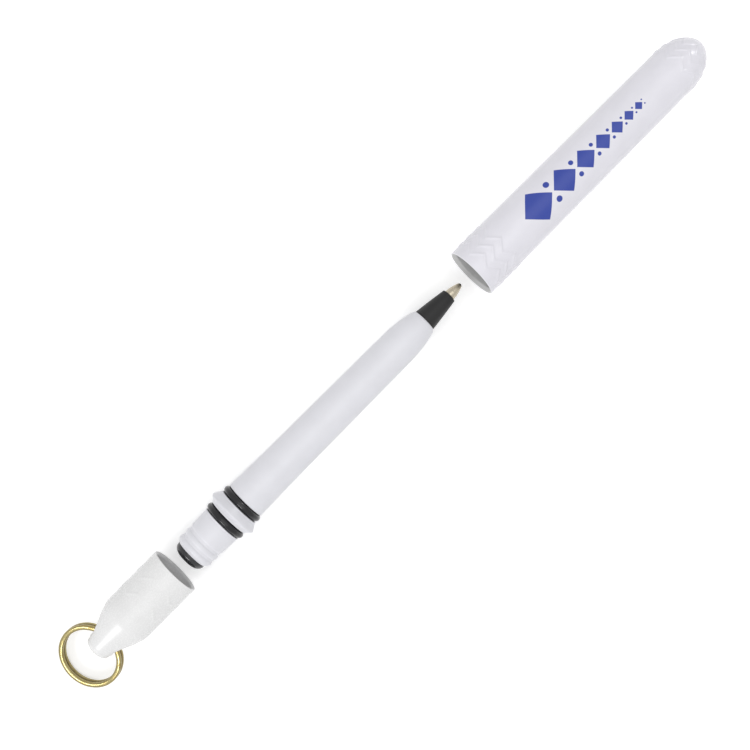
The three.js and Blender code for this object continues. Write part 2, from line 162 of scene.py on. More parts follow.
# %% A graph of nodes
class Graph:
    """A node tree that is written line by line."""

    def __init__(self, tree):
        self.tree = tree

    def node(self, kind, settings=None, sockets=None):
        """A new node with its settings, and with values or links on its sockets."""
        made = self.tree.nodes.new(kind)
        for name, value in (settings or {}).items():
            setattr(made, name, value)
        for key, value in (sockets or {}).items():
            self.feed(made.inputs[key], value)
        return made

    def add(self, kind, settings=None, sockets=None, output=0):
        """A new node, handed over as the value of one of its outputs."""
        return Value(self, self.node(kind, settings, sockets).outputs[output])

    def feed(self, socket, value):
        """Links a value to a socket, or writes a plain number, vector or colour on it."""
        if isinstance(value, Value):
            self.tree.links.new(value.socket, socket)
        else:
            socket.default_value = value

    def parts(self, vector):
        """The x, y and z of a vector as three values."""
        node = self.node("ShaderNodeSeparateXYZ", None, {0: vector})
        return [Value(self, output) for output in node.outputs]

    def mix(self, factor, first, second):
        """Blends two colours, each a Value or a tuple of red, green and blue.

        The Mix node has a set of sockets for each kind of data, and the colours' own are 6, 7 and output 2.
        """
        first, second = [c if isinstance(c, Value) else (*c, 1) for c in (first, second)]
        sockets = {"Factor": factor, 6: first, 7: second}
        return self.add("ShaderNodeMix", {"data_type": "RGBA"}, sockets, output=2)

    def looks_on(self):
        """1 for a ray from the camera, a mirror or glass, and 0 for a ray that gathers light."""
        rays = self.node("ShaderNodeLightPath").outputs
        names = ("Is Camera Ray", "Is Glossy Ray", "Is Transmission Ray")
        camera_ray, glossy_ray, glass_ray = [Value(self, rays[name]) for name in names]
        return (camera_ray + glossy_ray + glass_ray).math("MINIMUM", 1)


# %% [markdown]
# ## Finishes
# Every finish starts from the same place: a Principled shader, the object's own coordinates, and a
# little unevenness. Moulded plastic is never one flat colour: it has a faint cloudiness and a skin that
# is very slightly wavy, which is what makes its highlight break up. The `Finish` class holds what all
# the materials share, and each material adds what makes it special.


# %% What all finishes share
class Finish(Graph):
    """A material in the making, with its shader and the object's coordinates at hand."""

    def __init__(self, name):
        self.material = bpy.data.materials.new(name)
        self.material.use_nodes = True
        super().__init__(self.material.node_tree)
        self.shader = self.tree.nodes["Principled BSDF"]
        self.place = self.add("ShaderNodeTexCoord", output="Object")
        x, y, z = self.parts(self.place)
        self.along = x / MM
        self.across = y / MM
        self.up = z / MM - axis_height

    def noise(self, size, detail=3, roughness=0.5, stretch=(1, 1, 1)):
        """Noise whose lumps are about `size` millimetres across, drawn out by `stretch`."""
        scale = [1 / (size * MM * part) for part in stretch]
        scaled = {"Vector": self.place, "Scale": scale}
        place = self.add("ShaderNodeMapping", {"vector_type": "POINT"}, scaled)
        sockets = {"Vector": place, "Scale": 1.0, "Detail": detail, "Roughness": roughness}
        return self.add("ShaderNodeTexNoise", None, sockets)

    def from_axis(self):
        """Distance from the pen's axis, in millimetres."""
        return (self.across * self.across + self.up * self.up).math("SQRT")

    def round_axis(self, radius):
        """Way round the axis from the top, in millimetres at the given radius, towards -Y."""
        return (self.across * -1).math("ARCTAN2", self.up) * radius

    def faces_axis(self):
        """1 where the surface looks towards the axis, as a bore does, and 0 where it looks away."""
        _, y, z = self.parts(self.add("ShaderNodeTexCoord", output="Normal"))
        return (self.across * y + self.up * z).ramp(-0.02, -0.4)

    def bump(self, height, depth, strength=1.0):
        """Feeds a height pattern, `depth` millimetres deep, to the shader's normal."""
        sockets = {"Height": height, "Distance": depth * MM, "Strength": strength}
        self.feed(self.shader.inputs["Normal"], self.add("ShaderNodeBump", None, sockets))

    def set(self, **sockets):
        """Feeds the shader's sockets, each named in small letters with underscores."""
        for name, value in sockets.items():
            self.feed(self.shader.inputs[name.replace("_", " ").title().replace("Ior", "IOR")], value)
        return self


# %% Moulded plastic
def moulded_plastic(name, colour, cloud=0.03, roughness=0.3, skin=0.004, bore_shade_grey=None):
    """Injection-moulded plastic: cloudy colour, a slightly uneven gloss and a wavy skin.

    Faces that look towards the axis are painted a flat grey when a bore grey is given: painted shade for the
    inside of a bore.
    """
    finish = Finish(name)
    clouds = finish.noise(4.0, detail=4)
    darker = [part * (1 - 2 * cloud) for part in colour]
    finish.shade = finish.mix(clouds.ramp(0.35, 0.65), darker, colour)
    # A bore gets a flat grey here: painted shade, since the moulding is the same white inside as out.
    if bore_shade_grey is not None:
        finish.inside = finish.faces_axis()
        finish.shade = finish.mix(finish.inside, finish.shade, (bore_shade_grey, bore_shade_grey, bore_shade_grey))
    speckle = finish.noise(0.35, detail=2)
    finish.gloss = roughness - 0.05 + 0.1 * speckle
    finish.skin = finish.noise(1.2, detail=2) + 0.25 * finish.noise(0.12, detail=1)
    finish.bump(finish.skin, skin)
    finish.set(base_color=finish.shade, roughness=finish.gloss)
    return finish


# %% [markdown]
# ## White plastics, black plastics and rubber
# The barrel is a cool white, the cap is a touch more lavender and the tail cap is a neutral white,
# because the three mouldings come from different batches. White plastic lets some light in below its
# skin, but at this size a plain diffuse base does the same. The black pieces are nearly black, but never
# fully. They differ in gloss: the nose cone is dull, the end plug is polished, and the rubber shines
# wherever dust hasn't dulled it.

# %% The plastics and the rubber
cap_white = (0.825, 0.815, 0.875)
barrel_white = (0.80, 0.80, 0.845)
tail_white = (0.87, 0.87, 0.87)
black = (0.012, 0.012, 0.0125)

barrel_finish = moulded_plastic("barrel_plastic", barrel_white, cloud=0.012, roughness=0.34)
tail_finish = moulded_plastic("tail_plastic", tail_white, cloud=0.015, roughness=0.27, bore_shade_grey=0.76)
nose_finish = moulded_plastic("nose_plastic", black, cloud=0.1, roughness=0.55, skin=0.006)
plug_finish = moulded_plastic("plug_plastic", (0.022, 0.022, 0.025), cloud=0.1, roughness=0.2)
nose_finish.set(specular_ior_level=0.38)


def seal_rubber():
    """Nitrile rubber with the faint bloom and dust that seals carry."""
    finish = Finish("seal_rubber")
    dust = finish.noise(0.6, detail=5, roughness=0.6).ramp(0.55, 0.8)
    finish.set(base_color=finish.mix(dust, (0.005, 0.005, 0.007), (0.018, 0.018, 0.021)))
    finish.set(roughness=0.18 + 0.25 * dust, specular_ior_level=0.42)
    finish.bump(finish.noise(0.25, detail=3), 0.006)
    return finish


rubber_finish = seal_rubber()
print(f"{len(bpy.data.materials)} materials with the frame's own")

# %% [markdown]
# ## The print on the cap
# The cap carries a blue pad print, which is a plain ornament: a row of diamonds that grow smaller towards
# the tip, with a pair of dots between neighbours. A diamond is all the points whose steps along and
# across add up to less than its half width, and a dot is all the points near its middle. The ink only
# lies on the outside, and the surface normal tells the outside from the bore.

# %% The print
print_blue = (0.030, 0.060, 0.36)
print_radius = 5.7
first_diamond = {"tip": 14.5, "half": 3.9}
diamond_count = 7
smaller_by = 0.80
diamond_gap = 0.5
dot_size = 0.17
dot_aside = 0.52
diamond_edge = 0.05
dot_edge = 0.04


def diamonds(finish):
    """1 on the diamonds and dots of the print, 0 elsewhere."""
    along = finish.along - cap_mouth
    across = finish.round_axis(print_radius).math("ABSOLUTE")
    start = first_diamond["tip"]
    half = first_diamond["half"]
    printed = 0
    for _ in range(diamond_count):
        from_middle = (along - (start + half)).math("ABSOLUTE")
        diamond = (from_middle + across).ramp(half + diamond_edge, half - diamond_edge)
        dot = half * dot_size
        past_end = along - (start + 2 * half + diamond_gap / 2)
        beside = across - (dot_aside * half)
        from_dot = (past_end * past_end + beside * beside).math("SQRT")
        both = diamond.math("MAXIMUM", from_dot.ramp(dot + dot_edge, dot - dot_edge))
        printed = both.math("MAXIMUM", printed)
        start += 2 * half + diamond_gap
        half *= smaller_by
    return printed


# %% Cap plastic
def printed_cap_plastic():
    """The cap's own white, with the print's colour, gloss and thickness laid over it on the outside."""
    finish = moulded_plastic("cap_plastic", cap_white, cloud=0.012, roughness=0.22, bore_shade_grey=0.60)
    ink = diamonds(finish) * (1 - finish.inside)
    finish.set(base_color=finish.mix(ink, finish.shade, print_blue))
    finish.set(roughness=finish.gloss + 0.12 * ink)
    finish.bump(finish.skin + 0.8 * ink, 0.004)
    return finish


cap_finish = printed_cap_plastic()
print(f"{diamond_count} diamonds on the cap")

# %% [markdown]
# ## Metals
# The point is turned nickel silver, so its cutter has left fine rings round the axis. The ball is
# tungsten carbide with a film of ink. The key ring is brass-plated steel wire, and its plating wears
# to a warmer tone. Metal shows mostly what it reflects, so its own colour stays simple.


# %% The metals
def turned_metal(name, colour, roughness, ring_pitch):
    """Metal from a lathe, with cutter marks round the axis."""
    finish = Finish(name)
    wobble = finish.noise(0.5, detail=2)
    marks = ((finish.along / ring_pitch + wobble) * math.tau).math("SINE")
    tarnish = finish.noise(0.9, detail=4).ramp(0.4, 0.75)
    darker = [part * 0.85 for part in colour]
    finish.set(base_color=finish.mix(tarnish, colour, darker), metallic=1.0)
    finish.set(roughness=roughness + 0.12 * tarnish)
    finish.bump(marks, 0.0015)
    return finish


def plated_wire(name, colour, roughness):
    """Drawn and plated wire: faint waves in the plating, and a warmer tone where it has rubbed."""
    finish = Finish(name)
    rubbed = finish.noise(1.6, detail=4, roughness=0.6).ramp(0.45, 0.7)
    warmer = (colour[0] * 0.8, colour[1] * 0.72, colour[2] * 0.6)
    waves = finish.noise(0.3, detail=3)
    finish.shade = finish.mix(rubbed, colour, warmer)
    finish.gloss = roughness + 0.14 * rubbed
    finish.bump(waves, 0.0006)
    return finish


# %% Point and ball
nib_finish = turned_metal("nib_metal", (0.49, 0.44, 0.345), 0.24, ring_pitch=0.09)
ball_finish = turned_metal("ball_metal", (0.22, 0.21, 0.22), 0.15, ring_pitch=0.3)
print("metals:", nib_finish.material.name, ball_finish.material.name)

# %% [markdown]
# ## What is inside
# Nothing of the refill shows until the pen is taken apart, but it is there, so it gets its finish too:
# a natural plastic tube, a column of dark ink paste and a plug of amber grease that follows the ink.


# %% The refill's finishes
def refill_finish(name, colour, roughness, lump):
    """A soft filling or its tube, with streaks that run along the pen."""
    finish = Finish(name)
    streaks = finish.noise(lump, detail=3, stretch=(5, 1, 1))
    darker = [part * 0.8 for part in colour]
    finish.set(base_color=finish.mix(streaks.ramp(0.3, 0.7), darker, colour))
    finish.set(roughness=roughness + 0.1 * streaks)
    finish.bump(streaks, 0.003)
    return finish


tube_finish = refill_finish("tube_plastic", (0.72, 0.75, 0.77), 0.3, 1.5)
ink_finish = refill_finish("ink", (0.012, 0.018, 0.07), 0.4, 0.8)
grease_finish = refill_finish("grease", (0.72, 0.58, 0.24), 0.3, 0.7)

refill = {"ink_tube": tube_finish, "ink_column": ink_finish, "grease_follower": grease_finish}
for node, finish in refill.items():
    nodes[node].data.materials.clear()
    nodes[node].data.materials.append(finish.material)
    print(f"{node} is finished as {finish.material.name}")

# %% [markdown]
# ## Turning a piece
# Nearly every piece of a pen is round about one axis, so one function makes them all, as a lathe would.
# It takes an outline of (x, radius) points. A third number softens that corner with a short curve: real
# edges are never perfectly sharp, and the soft edge is what catches the light.


# %% Softened corners
def softened(outline, closed, steps=5, share=0.48):
    """The outline with every corner that has a third number replaced by a short curve.

    A curve takes up no more than its share of a side, so that two curves never meet.
    """
    points = [Vector(point[:2]) for point in outline]
    count = len(points)
    result = []
    for i, corner in enumerate(points):
        cut = outline[i][2] if len(outline[i]) > 2 else 0
        at_end = not closed and i in (0, count - 1)
        if cut == 0 or at_end:
            result.append(corner)
            continue
        before = points[i - 1] - corner
        after = points[(i + 1) % count] - corner
        start = corner + before.normalized() * min(cut, before.length * share)
        end = corner + after.normalized() * min(cut, after.length * share)
        for step in range(steps + 1):
            t = step / steps
            result.append(start * (1 - t) ** 2 + corner * 2 * t * (1 - t) + end * t * t)
    return result


# %% The lathe
def turned(name, outline, finish, closed=False, around=128, origin=0.0):
    """Turns an outline about the pen's axis. A closed one makes a ring, and an open one ends on the axis."""
    profile = softened(outline, closed)
    mesh = bmesh.new()
    rows = []
    for x, radius in profile:
        if radius < 1e-6:
            rows.append([mesh.verts.new(((origin + x) * MM, 0, axis_height * MM))])
            continue
        row = []
        for step in range(around):
            turn = math.tau * step / around
            y = -radius * math.sin(turn)
            z = axis_height + radius * math.cos(turn)
            row.append(mesh.verts.new(((origin + x) * MM, y * MM, z * MM)))
        rows.append(row)
    pairs = list(zip(rows, rows[1:]))
    if closed:
        pairs.append((rows[-1], rows[0]))
    for here, there in pairs:
        for step in range(around):
            following = (step + 1) % around
            corners = [here[step % len(here)], here[following % len(here)]]
            corners += [there[following % len(there)], there[step % len(there)]]
            # A row on the axis is a single point, and a face may name a point only once.
            mesh.faces.new(dict.fromkeys(corners))
    return finished(name, mesh, finish)


# %% Finishing a mesh
def finished(name, mesh, finish, sharp=40):
    """Makes an object of a bmesh, with its faces pointing out and smooth except at sharp edges."""
    bmesh.ops.recalc_face_normals(mesh, faces=mesh.faces)
    data = bpy.data.meshes.new(name)
    mesh.to_mesh(data)
    mesh.free()
    data.shade_smooth()
    data.set_sharp_from_angle(angle=math.radians(sharp))
    data.materials.append(finish.material)
    piece = bpy.data.objects.new(name, data)
    bpy.context.scene.collection.objects.link(piece)
    print(f"{name}: {len(data.polygons)} faces")
    return piece


def stands_for(piece, node, body):
    """The piece takes the node's place and moves with its body."""
    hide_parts(node)
    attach(piece, body)
    return piece


# %% [markdown]
# ## The barrel
# One moulding does four jobs. From the rear it has two soft beads that snap into the tail cap, a smooth
# neck, a flange with a groove for a rubber ring on each side, and a long tapered tube with a rounded
# shoulder. The flange's sloped faces are seats for the two caps. Places are counted from the middle of
# the flange.

# %% Sizes of the barrel
seal_to_flange = 2.175
flange = rear_seal + seal_to_flange
rear_end = barrel_rear - flange
front_end = barrel_front - flange
front_groove = front_seal - flange
rear_groove = rear_seal - flange
groove_half = 0.925
groove_floor = 3.28
flange_radius = 5.77
bead_count = 2
bead_pitch = 1.84
bead_radius = 4.36
between_beads = 4.16
first_bead = rear_end + 0.8
shoulder_start = front_end - 6.8
bore = 2.7
bore_taper = 0.7
mouth_bore = 2.0
mouth_bore_depth = 5
print(f"flange at {flange:.2f} mm, seals {rear_groove:.2f} and {front_groove:.2f} mm from it")

# %% Barrel
# The rear rim comes first, and then the snap beads one by one.
barrel_outline = [(rear_end, 3.7, 0.15), (first_bead, bead_radius, 0.25)]
for bead in range(bead_count):
    start = first_bead + bead * bead_pitch
    if bead > 0:
        barrel_outline.append((start, bead_radius, 0.22))
    barrel_outline.append((start + 0.6, bead_radius, 0.22))
    barrel_outline.append((start + 0.9, between_beads, 0.15))
    barrel_outline.append((start + 1.54, between_beads, 0.15))
barrel_outline += [
    (first_bead + bead_count * bead_pitch, bead_radius, 0.2),
    # the rear seal's groove
    (rear_groove - groove_half, 4.53, 0.1),
    (rear_groove - groove_half, groove_floor, 0.1),
    (rear_groove + groove_half, groove_floor, 0.1),
    (rear_groove + groove_half, 4.72, 0.06),
    # the flange, with a sloped seat on each side
    (-1.03, 4.82, 0.1),
    (-0.48, 5.42, 0.1),
    (-0.18, flange_radius, 0.09),
    (0.18, flange_radius, 0.09),
    (0.78, 5.42, 0.2),
    (1.63, 4.86, 0.1),
    # the front seal's groove
    (front_groove - groove_half, 4.76, 0.06),
    (front_groove - groove_half, groove_floor, 0.1),
    (front_groove + groove_half, groove_floor, 0.1),
    (front_groove + groove_half, 4.56, 0.12),
    # the long tube, its shoulder and its front lip
    (front_groove + groove_half + 9, 4.35, 4),
    (shoulder_start, 4.05, 3),
    (shoulder_start + 2.6, 3.82, 1.6),
    (shoulder_start + 4.5, 3.5, 1.2),
    (front_end - 0.42, 3.03, 0.45),
    (front_end, 2.66, 0.1),
    # back through the bore
    (front_end, mouth_bore, 0.1),
    (front_end - mouth_bore_depth, mouth_bore),
    (front_end - mouth_bore_depth - bore_taper, bore),
    (rear_end, bore, 0.1),
]
barrel = turned("barrel_moulding", barrel_outline, barrel_finish, closed=True, around=160, origin=flange)
stands_for(barrel, "barrel", "pen")

# %% [markdown]
# ## The two seals
# An O-ring is moulded between two halves of a tool, which leaves a hair-thin line of flash round its
# widest and narrowest places. A circle with two tiny corners gives that line without any extra piece.


# %% Seals
def seal(name, node, middle):
    """A rubber ring whose outline is a circle with a tiny corner at its top and bottom."""
    cord_radius = 0.825
    ring_radius = 4.96
    flash = 0.012
    steps = 28
    outline = []
    for step in range(steps):
        turn = math.tau * step / steps
        reach = cord_radius if step in (0, steps // 2) else cord_radius - flash
        outline.append((reach * math.sin(turn), ring_radius - cord_radius + reach * math.cos(turn)))
    ring = turned(name, outline, rubber_finish, closed=True, around=144, origin=middle)
    return stands_for(ring, node, "pen")


seal("front_seal", "front_o_ring", front_seal)
seal("rear_seal", "rear_o_ring", rear_seal)

# %% [markdown]
# ## The writing end
# The nose cone pushes into the barrel and holds the point. The point is a tiny turned part: a collar, a
# curved cone and a lip that is rolled inwards over the ball, so that the ball can turn but not fall
# out. The ball shows for a quarter of a millimetre.

# %% Nose cone
nose_rear, nose_tip = span("nose_cone")
nose_seat = barrel_front + 0.05
nose_middle = (nose_seat + nose_tip) / 2
spigot_radius = 1.97
point_bore = 0.88
point_bore_end = nose_tip - 4.98
ink_bore = 0.6
nose_outline = [
    # the spigot that sits in the barrel
    (nose_rear, ink_bore, 0.05),
    (nose_rear, spigot_radius - 0.3, 0.05),
    (nose_rear + 0.3, spigot_radius, 0.1),
    (nose_seat, spigot_radius, 0.02),
    # the cone that shows
    (nose_seat, 2.58, 0.12),
    (nose_middle, 2.14, 2.5),
    (nose_tip, 1.6, 0.14),
    # back through the bores for the point and the ink
    (nose_tip, point_bore, 0.05),
    (point_bore_end, point_bore),
    (point_bore_end, ink_bore),
]
stands_for(turned("nose_moulding", nose_outline, nose_finish, closed=True), "nose_cone", "pen")

# %% Point
nib_rear, nib_lip = span("nib")
collar = nib_rear + 5
collar_radius = 1.21
shank_radius = 0.85
ink_channel = 0.3
ball_low, ball_high = span("writing_ball")
ball_middle = (ball_low + ball_high) / 2
socket_radius = 0.54
socket_mouth = 62.5
socket_end = 146
socket_steps = 8
nib_outline = [
    # the shank in the nose cone
    (nib_rear, ink_channel),
    (nib_rear, shank_radius, 0.08),
    (collar, shank_radius, 0.02),
    # the collar, the curved cone and the rolled lip
    (collar, collar_radius, 0.1),
    (collar + 0.9, 1.16, 0.08),
    (collar + 2.2, 0.86, 0.8),
    (nib_lip - 0.16, 0.56, 0.1),
    (nib_lip, 0.49, 0.05),
]
# The socket follows the ball, with a little clearance.
for step in range(socket_steps + 1):
    turn = math.radians(socket_mouth + (socket_end - socket_mouth) * step / socket_steps)
    nib_outline.append((ball_middle + socket_radius * math.cos(turn), socket_radius * math.sin(turn)))
stands_for(turned("point", nib_outline, nib_finish, closed=True, around=96), "nib", "pen")

# %% Ball
ball_radius = 0.5
ball_steps = 24
ball_outline = [(-ball_radius, 0)]
for step in range(1, ball_steps):
    turn = math.pi * step / ball_steps
    ball_outline.append((-ball_radius * math.cos(turn), ball_radius * math.sin(turn)))
ball_outline.append((ball_radius, 0))
ball = turned("ball", ball_outline, ball_finish, around=48, origin=ball_middle)
stands_for(ball, "writing_ball", "ball")

# %% [markdown]
# ## The end plug
# A black plug closes the rear of the barrel. Its head is a low dome with a flat end, and a small dimple
# in the middle is where the plastic was let into the mould.

# %% End plug
plug_end, plug_front = span("end_plug")
dimple = 0.12
head_radius = 3.63
head_back = plug_end + 1.75
stem_radius = 2.67
plug_outline = [
    # the dimple and the flat end
    (plug_end + dimple, 0),
    (plug_end + dimple, 0.5, 0.1),
    (plug_end, 0.75, 0.1),
    (plug_end, 2.35, 0.35),
    # the low dome
    (plug_end + 0.36, 3.05, 0.4),
    (plug_end + 0.85, 3.48, 0.4),
    (plug_end + 1.4, head_radius, 0.15),
    (head_back, head_radius, 0.05),
    # the stem in the barrel
    (head_back, stem_radius, 0.02),
    (plug_front - 0.4, stem_radius, 0.1),
    (plug_front, stem_radius - 0.4, 0.1),
    (plug_front, 0),
]
stands_for(turned("plug_moulding", plug_outline, plug_finish), "end_plug", "pen")

# %% [markdown]
# ## Raised zigzag lines
# Both caps have fine zigzag lines moulded round them, for grip. Drawing each one by hand would be long
# work, but a rule makes them all: at every point of the cap, work out how far along the pen the nearest
# line lies, and lift the surface by a soft bump where it is close. Geometry Nodes does this for a whole
# surface at once. The zigzag itself is the Ping-Pong maths function of the angle round the axis. Only
# faces that look away from the axis are lifted, so the bore stays smooth.


# %% Which way a surface looks
def facing_out(graph, normal, across, up):
    """How far a surface looks away from the pen's axis: 1 straight out, 0 along the axis, -1 in a bore."""
    never_zero = 0.1 * MM
    _, across_part, up_part = graph.parts(normal)
    from_axis = (across * across + up * up).math("SQRT").math("MAXIMUM", never_zero)
    return (across * across_part + up * up_part) / from_axis


# %% A tree that lifts zigzag lines out of a surface
def zigzag_tree():
    """Node group: lifts `Lines` parallel zigzag lines, `Pitch` apart, out of the surface it is given."""
    tree = bpy.data.node_groups.new("zigzag_relief", "GeometryNodeTree")
    tree.interface.new_socket("Geometry", in_out="INPUT", socket_type="NodeSocketGeometry")
    numbers = ["First Corner", "Side", "Pitch", "Lines", "Swing", "Arms", "Phase", "Half Width", "Height"]
    for label in numbers:
        tree.interface.new_socket(label, in_out="INPUT", socket_type="NodeSocketFloat")
    tree.interface.new_socket("Material", in_out="INPUT", socket_type="NodeSocketMaterial")
    tree.interface.new_socket("Geometry", in_out="OUTPUT", socket_type="NodeSocketGeometry")
    graph = Graph(tree)
    start = graph.node("NodeGroupInput")
    given = {label: Value(graph, start.outputs[label]) for label in ["Geometry", "Material", *numbers]}
    x, y, z = graph.parts(graph.add("GeometryNodeInputPosition"))
    up = z - axis_height * MM
    side = given["Side"]
    angle = (y * side * -1).math("ARCTAN2", up)
    arm = angle * given["Arms"] / math.tau - given["Phase"]
    climb = arm.math("PINGPONG", 1) * given["Swing"]
    past_first = x * side / MM - given["First Corner"] - climb
    line = (past_first / given["Pitch"]).math("ROUND")
    line = line.math("MAXIMUM", 0).math("MINIMUM", given["Lines"] - 1)
    distance = (past_first - line * given["Pitch"]).math("ABSOLUTE")
    closeness = (1 - distance / given["Half Width"]).math("MAXIMUM", 0)
    normal = graph.add("GeometryNodeInputNormal")
    outside = facing_out(graph, normal, y, up).ramp(0, 0.25)
    lift = closeness.ramp(0, 0.7) * outside * given["Height"] * MM
    outward = graph.add("ShaderNodeVectorMath", {"operation": "SCALE"}, {0: normal, "Scale": lift})
    sockets = {"Geometry": given["Geometry"], "Offset": outward}
    moved = graph.add("GeometryNodeSetPosition", None, sockets)
    real = graph.add("GeometryNodeRealizeInstances", None, {"Geometry": moved})
    coating = {"Geometry": real, "Material": given["Material"]}
    coated = graph.add("GeometryNodeSetMaterial", None, coating)
    graph.node("NodeGroupOutput", None, {"Geometry": coated})
    return tree


relief = zigzag_tree()
print(f"zigzag tree: {len(relief.nodes)} nodes")


# %% Running a tree
def run_tree(piece, tree, **inputs):
    """Runs a node group on a piece with named inputs, and leaves a plain mesh behind."""
    modifier = piece.modifiers.new(tree.name, "NODES")
    modifier.node_group = tree
    sockets = {item.name: item.identifier for item in tree.interface.items_tree if item.in_out == "INPUT"}
    for label, value in inputs.items():
        modifier[sockets[label.replace("_", " ").title()]] = value
    seen = piece.evaluated_get(bpy.context.evaluated_depsgraph_get())
    plain = bpy.data.meshes.new_from_object(seen)
    piece.modifiers.clear()
    piece.data = plain
    return piece


zigzag = {"swing": 1.85, "arms": 16.0, "half_width": 0.5}

# %% [markdown]
# ## The long cap
# The cap is a tapered tube with a round end. Its outline is fine where the zigzag lines will be, because
# a surface can only be lifted where it has points to lift, and coarse everywhere else. The rim is
# opened to a cone inside, which is the face that meets the flange.

# %% Sizes of the long cap
cap_length = cap_tip - cap_mouth
cap_end_radius = 5.45
cap_mouth_radius = 5.87
cap_bore = 5.01
tip_wall = 0.8
dome_wall = 0.9
dome = 8.4
dome_start = cap_length - dome
bore_dome_steps = 16
rim_end = 0.3
mouth_lines_end = 11.6
tip_lines_start = 55.5
fine_step = 0.14
fine_share = 0.82


def fine(start, end):
    """Places along the cap, close enough together to carry the zigzag lines."""
    count = math.ceil((end - start) / fine_step)
    return [start + (end - start) * step / count for step in range(count + 1)]


def cap_radius(s):
    """The cap's outside radius at a distance from its mouth: a cone, and then an elliptic dome."""
    if s <= dome_start:
        return cap_mouth_radius + (cap_end_radius - cap_mouth_radius) * s / dome_start
    reach = min((s - dome_start) / dome, 1)
    return cap_end_radius * math.sqrt(max(1 - reach * reach, 0))


print(f"long cap: {cap_length:.2f} mm long, and its dome starts {dome_start:.2f} mm from its mouth")

# %% Inside of the long cap
cap_outline = [(cap_length - tip_wall, 0)]
for step in reversed(range(bore_dome_steps)):
    turn = math.pi / 2 * step / bore_dome_steps
    s = dome_start + (dome - tip_wall) * math.sin(turn)
    cap_outline.append((s, (cap_end_radius - dome_wall) * math.cos(turn)))
cap_outline += [
    # the bore widens where the seal sits
    (6.0, 4.85, 0.2),
    (5.2, cap_bore, 0.2),
    # the rim, opened to a cone for the flange
    (0.74, cap_bore, 0.15),
    (0, 5.59, 0.06),
    (0, cap_mouth_radius, 0.14),
]
print(f"{len(cap_outline)} outline points inside the long cap")

# %% Outside of the long cap
coarse = [14, 20, 28, 36, 44, 52]
fine_dome_end = dome_start + dome * fine_share
for s in fine(rim_end, mouth_lines_end) + coarse + fine(tip_lines_start, fine_dome_end):
    cap_outline.append((s, cap_radius(s)))
tip_steps = 14
tip_from = math.asin(fine_share)
for step in range(1, tip_steps):
    reach = tip_from + (math.pi / 2 - tip_from) * step / tip_steps
    cap_outline.append((dome_start + dome * math.sin(reach), cap_end_radius * math.cos(reach)))
cap_outline.append((cap_length, 0))
cap = turned("cap_moulding", cap_outline, cap_finish, around=320, origin=cap_mouth)

# %% Lines on the long cap
line_pitch = 2.3
mouth_to_lines = 1.75
lines_to_tip = 4.2
cap_lines = {
    "pitch": line_pitch,
    "lines": 3.0,
    "side": 1.0,
    "phase": 0.62,
    "height": 0.12,
    "material": cap_finish.material,
}
run_tree(cap, relief, first_corner=cap_mouth + mouth_to_lines, **cap_lines, **zigzag)
run_tree(cap, relief, first_corner=cap_tip - lines_to_tip - 2 * line_pitch, **cap_lines, **zigzag)
stands_for(cap, "cap_shell", "long_cap")
print(f"long cap: {cap_lines['lines']:.0f} lines {line_pitch} mm apart at each end")

# %% [markdown]
# ## The tail cap
# The tail cap is shaped like a blunt bullet. It is hollow only as far as the barrel reaches. Its solid
# tip has a cross hole for the key ring, cut with a Boolean modifier by a cutter that has a cone at each
# end, so that the hole's edges are broken as they are on the real moulding.

# %% Sizes of the tail cap
tail_length = tail_mouth - tail_tip
tail_radius = 5.69
tail_straight = 13.5
blend_radius = 6.0
cone_turn = math.radians(19.5)
tail_round = 1.4
tail_bore = 4.41
snap_groove = 4.58
seal_bore = 5.01
ring_hole = tail_length - 3.9
fine_end = 14.6
cone_steps = 24
round_steps = 18


def tail_profile_radius(s):
    """The tail cap's outside radius at a distance from its mouth: a tube, a bend and a cone."""
    past = s - tail_straight
    blend_length = blend_radius * math.sin(cone_turn)
    if past <= 0:
        return tail_radius
    if past <= blend_length:
        return tail_radius - blend_radius + math.sqrt(blend_radius**2 - past**2)
    drop = blend_radius * (1 - math.cos(cone_turn))
    return tail_radius - drop - (past - blend_length) * math.tan(cone_turn)


print(f"tail cap: {tail_length:.2f} mm long, with its cross hole {ring_hole:.2f} mm from its mouth")

# %% Tail cap
tail_outline = [
    # the hollow, from its pointed end
    (14.9, 0),
    (13.65, tail_bore, 0.1),
    (7.2, tail_bore, 0.1),
    # the groove that the beads snap into
    (7.0, snap_groove, 0.1),
    (4.0, snap_groove, 0.15),
    # the seal's bore and the rim
    (3.4, seal_bore, 0.15),
    (0.44, seal_bore, 0.12),
    (0, 5.47, 0.04),
    (0, tail_radius, 0.1),
]
for s in fine(rim_end, fine_end):
    tail_outline.append((s, tail_profile_radius(s)))
cone_end = tail_length - tail_round
for step in range(1, cone_steps):
    s = fine_end + (cone_end - fine_end) * step / cone_steps
    tail_outline.append((s, tail_profile_radius(s)))
end_radius = tail_profile_radius(cone_end)
for step in range(round_steps):
    turn = math.pi / 2 * step / round_steps
    tail_outline.append((cone_end + tail_round * math.sin(turn), end_radius * math.cos(turn)))
tail_outline.append((tail_length, 0))

mirrored = [(-point[0], *point[1:]) for point in tail_outline]
tail = turned("tail_moulding", mirrored, tail_finish, around=256, origin=tail_mouth)

# %% Lines on the tail cap
tail_mouth_to_lines = 3.45
tail_lines = {
    "pitch": 4.45,
    "lines": 2.0,
    "side": -1.0,
    "phase": 0.95,
    "height": 0.08,
    "material": tail_finish.material,
}
run_tree(tail, relief, first_corner=tail_mouth_to_lines - tail_mouth, **tail_lines, **zigzag)
print(f"tail cap: {tail_lines['lines']:.0f} lines {tail_lines['pitch']} mm apart")


